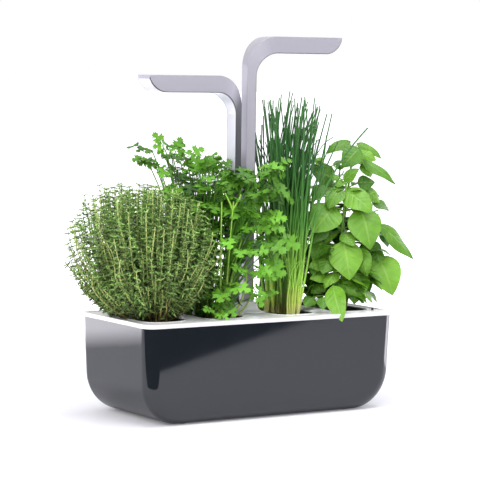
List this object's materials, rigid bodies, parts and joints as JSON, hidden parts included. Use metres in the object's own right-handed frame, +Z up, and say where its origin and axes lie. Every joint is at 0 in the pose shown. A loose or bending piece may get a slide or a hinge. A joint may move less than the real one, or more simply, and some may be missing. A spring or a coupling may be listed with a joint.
{
  "type": "countertop hydroponic garden",
  "caption": "Countertop hydroponic garden: a dark trough with a white deck, herbs in growing slots, and two lamps that slide up and down on a central guide.",
  "frame": {"origin": "on the worktop, at the middle of the trough's length and width", "axes": "+X along the trough towards the higher lamp, +Y to the back where the power button and inlet are, +Z up"},
  "size_m": [0.4867, 0.1897, 0.5017],
  "materials": {
    "shell_charcoal": "gloss",
    "white_gloss": "gloss",
    "tank_plastic": "translucent satin",
    "black_plastic": "matte",
    "black_rubber": "matte",
    "steel": "satin",
    "brass": "satin",
    "wire_sleeve": "satin",
    "circuit_board": "satin",
    "button_rubber": "matte",
    "button_cap": "satin",
    "float_foam": "matte",
    "growing_medium": "matte",
    "wick_felt": "matte",
    "lamp_aluminium": "satin",
    "lamp_white": "satin",
    "board_white": "satin",
    "led_lens": "gloss",
    "spreader_aluminium": "satin",
    "ribbon_white": "satin",
    "thyme_leaf": "matte",
    "parsley_leaf": "matte",
    "chive_leaf": "satin",
    "basil_leaf": "satin"
  },
  "bodies": {
    "garden": {"outer_shell": "shell_charcoal", "rubber_feet": "black_rubber", "water_tank": "tank_plastic", "deck": "white_gloss", "stem_collar": "white_gloss", "guide_column": "black_plastic", "column_screws": "steel", "brake_pads": "black_rubber", "contact_strips": "brass", "feed_wires": "wire_sleeve", "control_board": "circuit_board", "board_parts": "black_plastic", "board_screws": "steel", "power_inlet": "black_plastic", "inlet_pin": "brass", "button_switch": "black_plastic", "button_dome": "button_rubber", "basket_1": "black_plastic", "basket_2": "black_plastic", "basket_3": "black_plastic", "basket_4": "black_plastic", "growing_block_1": "growing_medium", "growing_block_2": "growing_medium", "growing_block_3": "growing_medium", "growing_block_4": "growing_medium", "wick_1": "wick_felt", "wick_2": "wick_felt", "wick_3": "wick_felt", "wick_4": "wick_felt", "thyme": "thyme_leaf", "parsley": "parsley_leaf", "chives": "chive_leaf", "basil": "basil_leaf"},
    "right_lamp": {"right_housing": "lamp_aluminium", "right_diffuser": "lamp_white", "right_stem_cover": "lamp_white", "right_led_board": "board_white", "right_leds": "led_lens", "right_heat_spreader": "spreader_aluminium", "right_ribbon": "ribbon_white", "right_shoe": "black_plastic", "right_brushes": "brass"},
    "left_lamp": {"left_housing": "lamp_aluminium", "left_diffuser": "lamp_white", "left_stem_cover": "lamp_white", "left_led_board": "board_white", "left_leds": "led_lens", "left_heat_spreader": "spreader_aluminium", "left_ribbon": "ribbon_white", "left_shoe": "black_plastic", "left_brushes": "brass"},
    "button": {"power_button": "button_cap"},
    "water_gauge": {"gauge_float": "float_foam", "gauge_rod": "black_plastic"}
  },
  "joints": [
    {"name": "lamp_right", "type": "slide", "parent": "garden", "child": "right_lamp", "axis": [0, 0, 1], "range_m": [-0.082, 0], "deforming": ["chives"]},
    {"name": "lamp_left", "type": "slide", "parent": "garden", "child": "left_lamp", "axis": [0, 0, 1], "range_m": [-0.029, 0.053]},
    {"name": "button_press", "type": "slide", "parent": "garden", "child": "button", "axis": [0, -1, 0], "range_m": [0, 0.0015], "stiffness_N_per_m": 900, "springref_m": -0.0006, "deforming": ["button_dome"]},
    {"name": "gauge_rise", "type": "slide", "parent": "garden", "child": "water_gauge", "axis": [0, 0, 1], "range_m": [-0.022, 0]}
  ]
}
